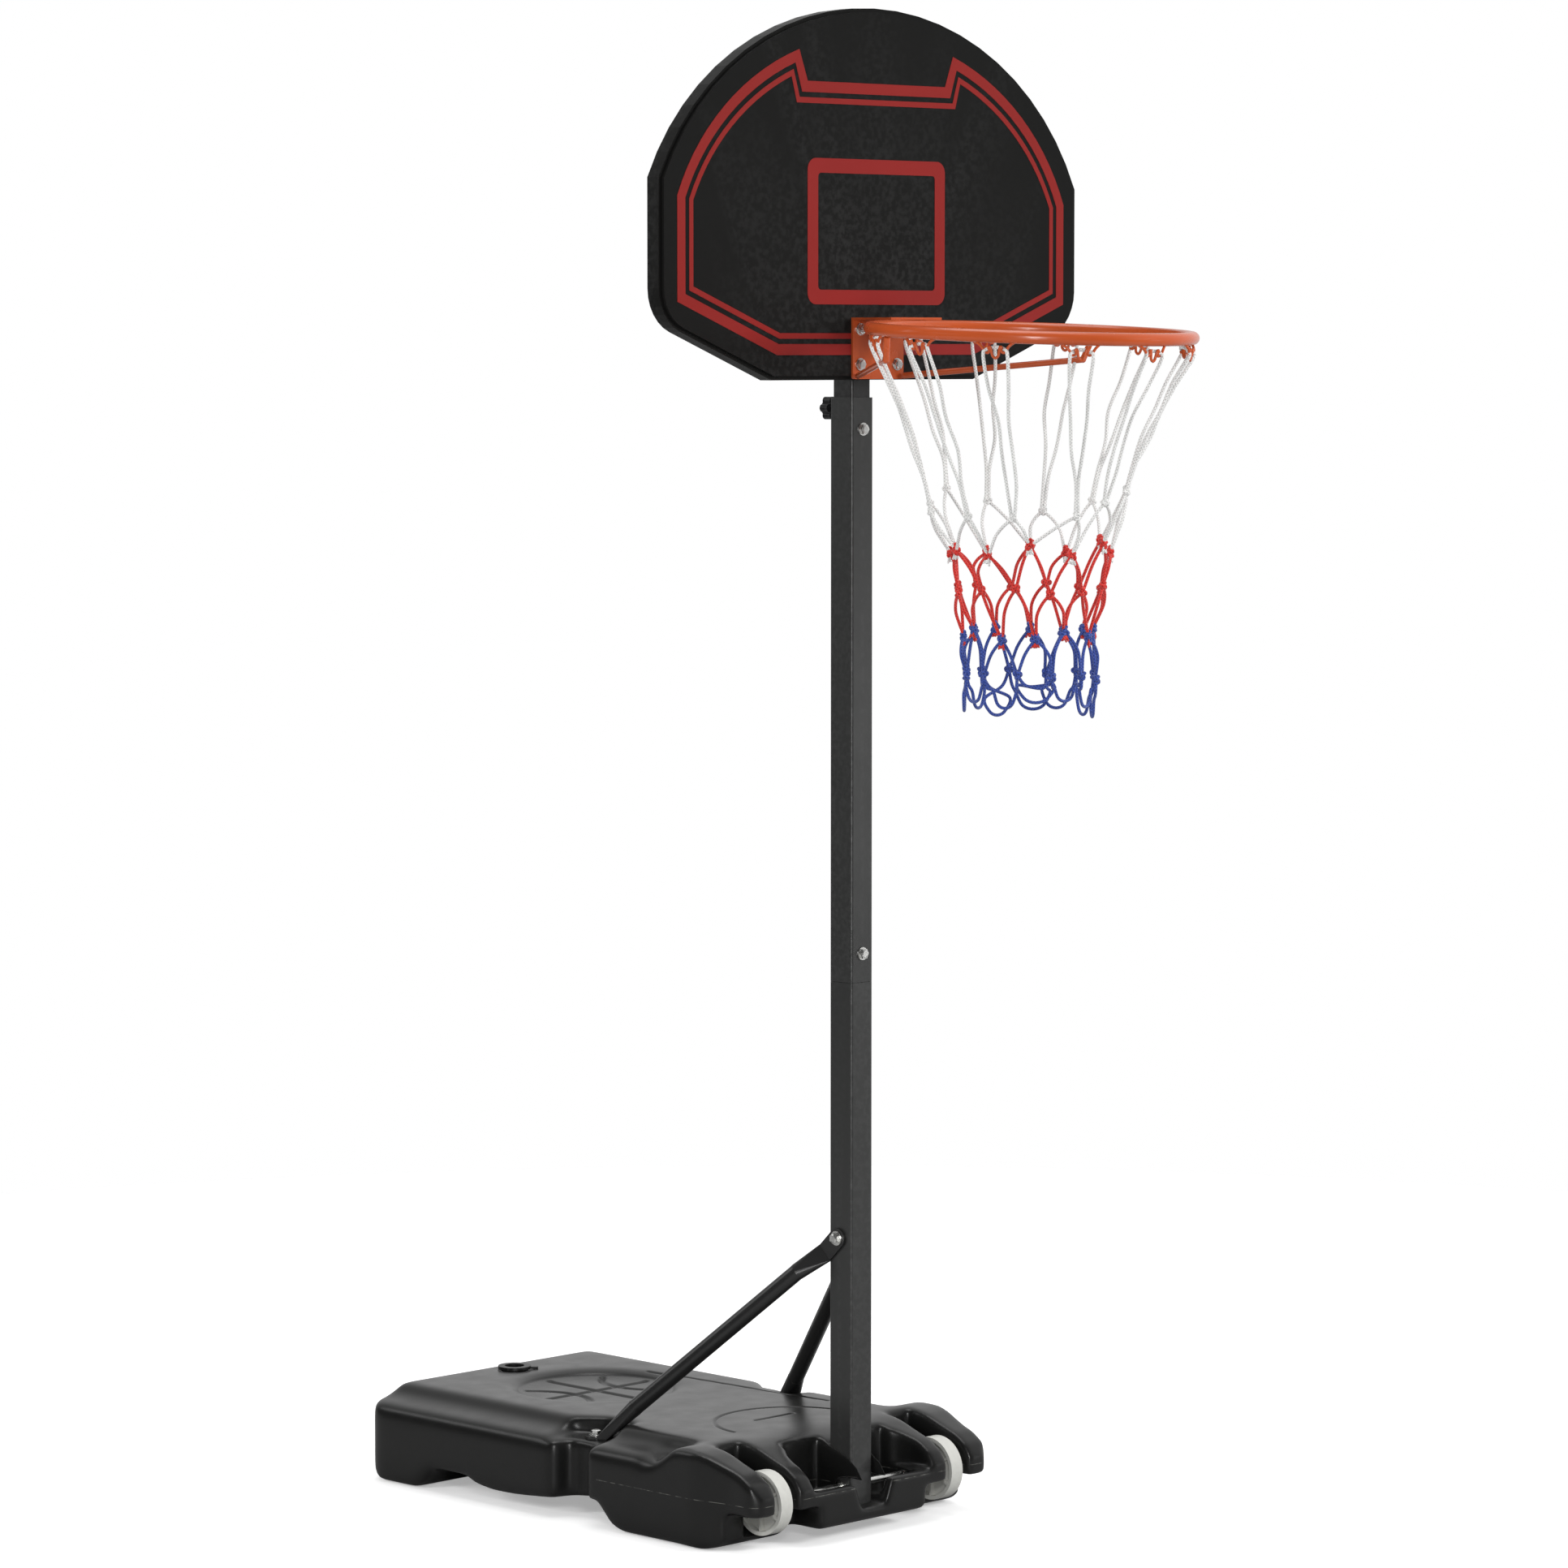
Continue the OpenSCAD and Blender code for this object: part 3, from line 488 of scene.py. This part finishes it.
def soften_more(tank, times):
    """Rounds the tank's big forms further, but not the fingers, the pole's slot and the brace seats."""
    points = np.empty(len(tank.data.vertices) * 3, np.float32)
    tank.data.vertices.foreach_get("co", points)
    x, y, z = points.reshape(-1, 3).T
    y = y - pole_y()
    behind = np.clip((y - 0.035) / 0.06, 0.25, 1)
    foot_low, foot_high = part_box("brace_foot_washers")
    seat_y = (foot_low.y + foot_high.y) / 2 - pole_y()
    from_seat = np.hypot(np.abs(x) - foot_high.x + 0.010, y - seat_y)
    weight = behind * np.clip((from_seat - 0.012) / 0.030, 0.15, 1)
    group = tank.vertex_groups.new(name="soft")
    steps = 8
    level = np.clip(np.round(weight * steps), 1, steps).astype(int)
    for i in range(1, steps + 1):
        group.add(np.nonzero(level == i)[0].tolist(), i / steps, "REPLACE")
    round_off = tank.modifiers.new("round_off", "SMOOTH")
    round_off.factor = 0.5
    round_off.iterations = times
    round_off.vertex_group = "soft"
    applied(tank)
    tank.vertex_groups.clear()


def segment_distance(x, y, a, b):
    """Distance in plan from points to the segment from a to b."""
    dx, dy = b[0] - a[0], b[1] - a[1]
    t = np.clip(((x - a[0]) * dx + (y - a[1]) * dy) / (dx * dx + dy * dy), 0, 1)
    return np.hypot(x - a[0] - t * dx, y - a[1] - t * dy)


def engrave(points, deck):
    """Sinks the seam lines of the ball relief and the deck's engraved lines into the softened skin."""
    x, y, z = points[:, 0], points[:, 1] - pole_y(), points[:, 2]
    from_ball = np.hypot(x, y - BALL_Y)
    lines = np.minimum(np.abs(x), np.abs(y - BALL_Y))
    for side in (-1, 1):
        bend = np.abs(np.hypot(x - side * CURVED_SEAM_X, y - BALL_Y) - CURVED_SEAM_R)
        lines = np.minimum(lines, bend)
    inside = np.clip((BALL_FLOOR_R - from_ball) / 0.006, 0, 1)
    seams = np.exp(-((lines / SEAM_HALF_WIDTH) ** 4)) * inside
    brim = np.exp(-(((from_ball - BRIM_R) / 0.0024) ** 2))
    seams = np.maximum(seams, 0.4 * brim) * (z > deck - 0.018)
    # an arc open to the front with a bar across it, and one bent groove to the right
    arc = np.where(y > 0.111, np.abs(np.hypot(x, y - ARC_Y) - ARC_R), 1.0)
    bar = segment_distance(x, y, (-0.028, 0.150), (0.042, 0.150))
    groove = np.minimum(
        segment_distance(x, y, (0.120, 0.512), (0.133, 0.260)),
        segment_distance(x, y, (0.133, 0.260), (0.140, 0.180)),
    )
    nearest = np.minimum(np.minimum(arc, bar), groove)
    marks = np.exp(-((nearest / MARK_HALF_WIDTH) ** 2)) * (z > deck - 0.004)
    points[:, 2] -= SEAM_DEPTH * seams + MARK_DEPTH * marks


def add_tank(finishes):
    """The blow-moulded tank: every edge soft, as the real moulding's are."""
    tank = outer_skin()
    remesh = tank.modifiers.new("remesh", "REMESH")
    remesh.mode = "VOXEL"
    remesh.voxel_size = VOXEL
    remesh.use_smooth_shade = True
    soften = tank.modifiers.new("soften", "SMOOTH")
    soften.factor = 0.5
    soften.iterations = SOFTEN_TIMES
    applied(tank)
    soften_more(tank, ROUND_OFF_TIMES)
    points = np.empty(len(tank.data.vertices) * 3, np.float32)
    tank.data.vertices.foreach_get("co", points)
    points = points.reshape(-1, 3).astype(float)
    engrave(points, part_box("base_tank")[1].z)
    tank.data.vertices.foreach_set("co", points.astype(np.float32).ravel())
    tank.data.update()
    tank.data.materials.append(finishes["tank_plastic"])
    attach(tank, "stand")
    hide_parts("base_tank")


# ---------------------------------------------------------------- net


def smooth_path(points, step=0.003):
    """A smooth curve through given points, as points a step apart, with its arc length."""
    p = np.array([points[0], *points, points[-1]], float)
    dense = []
    for a, b, c, d in zip(p, p[1:], p[2:], p[3:]):
        t = np.linspace(0, 1, 16, endpoint=False)[:, None]
        dense.append(
            0.5 * (2 * b + (c - a) * t + (2 * a - 5 * b + 4 * c - d) * t**2 + (3 * b - a - 3 * c + d) * t**3))
    dense = np.vstack([*dense, p[-1][None]])
    run = np.concatenate([[0], np.cumsum(np.linalg.norm(np.diff(dense, axis=0), axis=1))])
    count = max(3, int(run[-1] / step) + 1)
    at = np.linspace(0, run[-1], count)
    return np.column_stack([np.interp(at, run, dense[:, i]) for i in range(3)]), at


class CordMesh:
    """Gathers many round cords into one mesh with coordinates round and along each cord."""

    def __init__(self):
        self.points, self.faces, self.uv = [], [], []
        self.count = 0

    def add(self, points, radius, step=0.003, sides=9):
        """Adds one round cord along a smooth curve through the points."""
        path, run = smooth_path(points, step)
        tangent = np.gradient(path, axis=0)
        tangent /= np.linalg.norm(tangent, axis=1)[:, None] + 1e-12
        side = np.cross(tangent[0], (0.3, 0.2, 0.93))
        rings = []
        turn = np.linspace(0, 2 * np.pi, sides, endpoint=False)
        for here, along in zip(path, tangent):
            side = side - along * side.dot(along)
            side /= np.linalg.norm(side) + 1e-12
            other = np.cross(along, side)
            rings.append(here + radius * (np.cos(turn)[:, None] * side + np.sin(turn)[:, None] * other))
        # round ends
        first, last = path[0] - tangent[0] * radius * 0.7, path[-1] + tangent[-1] * radius * 0.7
        start = self.count
        self.points += [*np.vstack(rings), first, last]
        rows = len(path)
        for i in range(rows - 1):
            for j in range(sides):
                k = (j + 1) % sides
                a, b = start + i * sides, start + (i + 1) * sides
                self.faces.append((a + j, a + k, b + k, b + j))
                u0, u1 = j / sides, (j + 1) / sides
                self.uv.append(((u0, run[i]), (u1, run[i]), (u1, run[i + 1]), (u0, run[i + 1])))
        tip, tail = start + rows * sides, start + rows * sides + 1
        for j in range(sides):
            k = (j + 1) % sides
            u0, u1 = j / sides, (j + 1) / sides
            self.faces.append((tip, start + k, start + j))
            self.uv.append(((u0, 0), (u1, 0), (u0, 0)))
            end = start + (rows - 1) * sides
            self.faces.append((tail, end + j, end + k))
            self.uv.append(((u0, run[-1]), (u0, run[-1]), (u1, run[-1])))
        self.count = tail + 1

    def knot(self, centre, outward, size, radius, lean):
        """An overhand knot: a cord drawn tight into a trefoil."""
        t = np.linspace(0, 2 * np.pi, 25)
        flat = np.column_stack([
            np.sin(t) + 2 * np.sin(2 * t),
            np.cos(t) - 2 * np.cos(2 * t),
            -1.5 * np.sin(3 * t),
        ])
        normal = np.array(outward, float)
        normal /= np.linalg.norm(normal)
        level = np.cross((0, 0, 1), normal)
        level /= np.linalg.norm(level)
        upright = np.cross(normal, level)
        c, s = math.cos(lean), math.sin(lean)
        across, up = c * level + s * upright, -s * level + c * upright
        shape = np.outer(flat[:, 0], across) + 0.85 * np.outer(flat[:, 1], up) + np.outer(flat[:, 2], normal)
        self.add(np.array(centre) + shape * size / 3, radius, step=0.0014, sides=8)

    def build(self, name, material):
        """Makes the object from every cord added so far."""
        data = bpy.data.meshes.new(name)
        data.from_pydata([tuple(p) for p in self.points], [], self.faces)
        layer = data.uv_layers.new(name="cord")
        layer.data.foreach_set("uv", np.array([c for f in self.uv for c in f], np.float32).ravel())
        data.polygons.foreach_set("use_smooth", [True] * len(data.polygons))
        data.materials.append(material)
        data.update()
        thing = bpy.data.objects.new(name, data)
        bpy.context.scene.collection.objects.link(thing)
        return thing


# The ring's tube is this thick from its middle
RIM_TUBE_R = 0.0082
HOOKS = 12
HOOK_WIRE_R = 0.0018
CORD_R = 0.0021
WHITE_R = 0.0023
LOW_LOOP_Z = 1.0848
# Rows of knots: height, radius, share of a step round from the hooks, and how far knots stray
KNOT_ROWS = [
    (1.357, 0.130, 0.10, 0.018),
    (1.300, 0.104, 0.50, 0.009),
    (1.250, 0.093, 0.00, 0.006),
    (1.194, 0.082, 0.50, 0.007),
    (1.140, 0.084, 0.00, 0.007),
]
# One side of a hook: how far sideways from its middle and how far below the ring
HOOK_WIRE = [
    (0.0240, -0.0010), (0.0185, 0.0030), (0.0150, 0.0075), (0.0125, 0.0115), (0.0090, 0.0118),
    (0.0072, 0.0085), (0.0086, 0.0055), (0.0062, 0.0048), (0.0048, 0.0100), (0.0036, 0.0155), (0.0, 0.0186),
]


class Ring:
    """The rim's place: points on the ring's underside, and the directions there."""

    def __init__(self):
        low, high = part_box("rim_ring")
        self.tube = RIM_TUBE_R
        self.centre = (low + high) / 2
        self.radius = (high.x - low.x) / 2 - self.tube
        self.droop = math.asin(((high.z - low.z) / 2 - self.tube) / self.radius)

    def out(self, turn):
        return np.array([math.sin(turn), -math.cos(turn), 0.0])

    def aside(self, turn):
        return np.array([math.cos(turn), math.sin(turn), 0.0])

    def at(self, turn, radius, z):
        return np.array([radius * math.sin(turn), self.centre.y - radius * math.cos(turn), z])

    def under(self, turn):
        """The lowest point of the ring's tube at this turn."""
        fall = self.radius * math.sin(self.droop) * math.cos(turn)
        return self.at(turn, self.radius, self.centre.z - self.tube - fall)


def add_hooks(finishes):
    """Bent wire hooks under the ring, each with a curl for the cord on either side of a low middle."""
    ring, wires = Ring(), CordMesh()
    for i in range(HOOKS):
        turn = 2 * math.pi * i / HOOKS
        foot, aside, out = ring.under(turn), ring.aside(turn), ring.out(turn)
        line = [(-a, b) for a, b in HOOK_WIRE] + HOOK_WIRE[-2::-1]
        # the legs follow the ring's curve, the curls lean out over the cord
        bend = [-(a * a) / (2 * ring.radius) for a, b in line]
        lean = [0.0022 * math.sin(min(1.0, b / 0.0118) * math.pi) for a, b in line]
        wires.add(
            [foot + aside * a + out * (c + d) - (0, 0, b) for (a, b), c, d in zip(line, bend, lean)],
            HOOK_WIRE_R, step=0.0016, sides=8)
    thing = wires.build("hook_wires", finishes["rim_paint"])
    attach(thing, "upper")
    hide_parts("net_hooks")


def add_net(finishes):
    """The knotted net: twelve long white loops on the hooks, then diamonds of red and blue cord."""
    ring = Ring()
    step = 2 * math.pi / HOOKS
    rows = []
    for z, radius, share, stray in KNOT_ROWS:
        rows.append([
            (
                (i + share) * step + rng.uniform(-1, 1) * stray * 7,
                radius + rng.uniform(-1, 1) * stray * 0.4,
                z + rng.uniform(-1, 1) * stray,
            )
            for i in range(HOOKS)
        ])
    white, red, blue = CordMesh(), CordMesh(), CordMesh()

    # white loops over the hooks
    for i in range(HOOKS):
        turn = i * step
        hook, out, aside = ring.under(turn), ring.out(turn), ring.aside(turn)
        knot = ring.at(*rows[0][i])
        cross = rng.choice((-1, 1))
        legs = []
        for s in (-1, 1):
            over = hook + aside * s * 0.0112 - out * 0.0006 - (0, 0, 0.0078)
            side = hook + aside * s * 0.0152 + out * 0.0012 - (0, 0, 0.0150)
            bits = []
            for share in (0.2, 0.4, 0.6, 0.8):
                p = side + (knot - side) * share
                bow = math.sin(math.pi * share)
                # the two strands wind half a turn round each other on their way down
                wind = 0.0024 * math.sin(math.pi * max(0, share - 0.35) * 3)
                p = p + aside * s * (bow * rng.uniform(-0.003, 0.005) - cross * wind)
                p = p - out * bow * rng.uniform(0.004, 0.011)
                bits.append(p)
            legs.append((over, side, bits))
        (over_a, side_a, bits_a), (over_b, side_b, bits_b) = legs
        middle = hook - (0, 0, 0.0052) - out * 0.0034
        close = aside * 0.0019
        white.add(
            [knot - close, *reversed(bits_a), side_a, over_a, middle, over_b, side_b, *bits_b, knot + close],
            WHITE_R)
        white.knot(knot, ring.out(rows[0][i][0]), 0.0046, WHITE_R, rng.uniform(0, 3.1))

    def strand(mesh, start, end, radius, swing, belly):
        """A cord between two knots: it leaves spread, bellies outward and comes in steep."""
        a, b = ring.at(*start), ring.at(*end)
        turn = (start[0] + end[0]) / 2
        side, out = ring.aside(turn), ring.out(turn)
        points = [a]
        for share, weight in ((0.2, 0.75), (0.45, 1.0), (0.7, 0.55), (0.88, 0.12)):
            points.append(a + (b - a) * share + side * swing * weight + out * belly * weight)
        mesh.add([*points, b], radius)

    for upper, lower, mesh, radius in (
        (0, 1, white, WHITE_R * 0.92), (1, 2, red, CORD_R), (2, 3, red, CORD_R), (3, 4, blue, CORD_R)):
        for i in range(HOOKS):
            start = rows[upper][i]
            # cords go to the nearest knots on either side of the row below
            for k in ((i - 1, i) if upper in (0, 2) else (i, i + 1)):
                end = rows[lower][k % HOOKS]
                end = (end[0] + (0 if 0 <= k < HOOKS else math.copysign(2 * math.pi, k)), end[1], end[2])
                way = math.copysign(1, end[0] - start[0])
                strand(mesh, start, end, radius, way * rng.uniform(0.001, 0.010), rng.uniform(-0.003, 0.006))

    for row, mesh, tail in ((1, red, white), (2, red, None), (3, blue, red), (4, blue, None)):
        for turn, radius, z in rows[row]:
            spot, out = ring.at(turn, radius, z), ring.out(turn)
            mesh.knot(spot, out, 0.0052, CORD_R * 1.12, rng.uniform(0, 3.1))
            if tail:
                # the upper cord's bight and its cut ends show under the knot
                tail.knot(spot - (0, 0, 0.0070), out, 0.0026, CORD_R * 0.95, rng.uniform(0, 3.1))
                mesh.knot(spot + (0, 0, 0.0050), out, 0.0036, CORD_R, rng.uniform(0, 3.1))
                for s in (-1, 1):
                    end = ring.aside(turn) * s * rng.uniform(0.003, 0.007) + out * rng.uniform(0.001, 0.004)
                    tip = spot + end - (0, 0, rng.uniform(0.009, 0.013))
                    tail.add([spot, spot + end * 0.6 - (0, 0, 0.006), tip], CORD_R * 0.6, step=0.002, sides=7)

    # the free bottom loops, each between neighbouring knots, some of them twisted
    for i in range(HOOKS):
        a, b = rows[4][i], rows[4][(i + 1) % HOOKS]
        b = (b[0] + (2 * math.pi if i == HOOKS - 1 else 0), b[1], b[2])
        middle = (a[0] + b[0]) / 2 + rng.uniform(-0.10, 0.10)
        low = LOW_LOOP_Z + rng.uniform(0.0, 0.026)
        side = ring.aside(middle)
        start, end = ring.at(*a), ring.at(*b)
        bottom = ring.at(middle, 0.080 + rng.uniform(-0.012, 0.004), low)
        half = rng.uniform(0.013, 0.021) * (-1 if rng.uniform() < 0.35 else 1)
        blue.add([
            start,
            start * 0.7 + (bottom - side * half) * 0.3 - (0, 0, 0.004),
            bottom - side * half * 1.15 + (0, 0, 0.022),
            bottom - side * half * 0.7 + (0, 0, 0.005),
            bottom,
            bottom + side * half * 0.7 + (0, 0, 0.005),
            bottom + side * half * 1.15 + (0, 0, 0.022),
            end * 0.7 + (bottom + side * half) * 0.3 - (0, 0, 0.004),
            end,
        ], CORD_R)

    for name, mesh, node_name in (
        ("white_cords", white, "net_white"), ("red_cords", red, "net_red"), ("blue_cords", blue, "net_blue")):
        slot_name = node_name + "_cord"
        thing = mesh.build(name, finishes[slot_name])
        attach(thing, "upper")
        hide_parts(node_name)


# ---------------------------------------------------------------- the scene

add_camera()
add_surround()
add_floor()
add_lights()
finishes = make_finishes()
dress_cad_nodes(finishes)
add_tank(finishes)
add_hooks(finishes)
add_net(finishes)
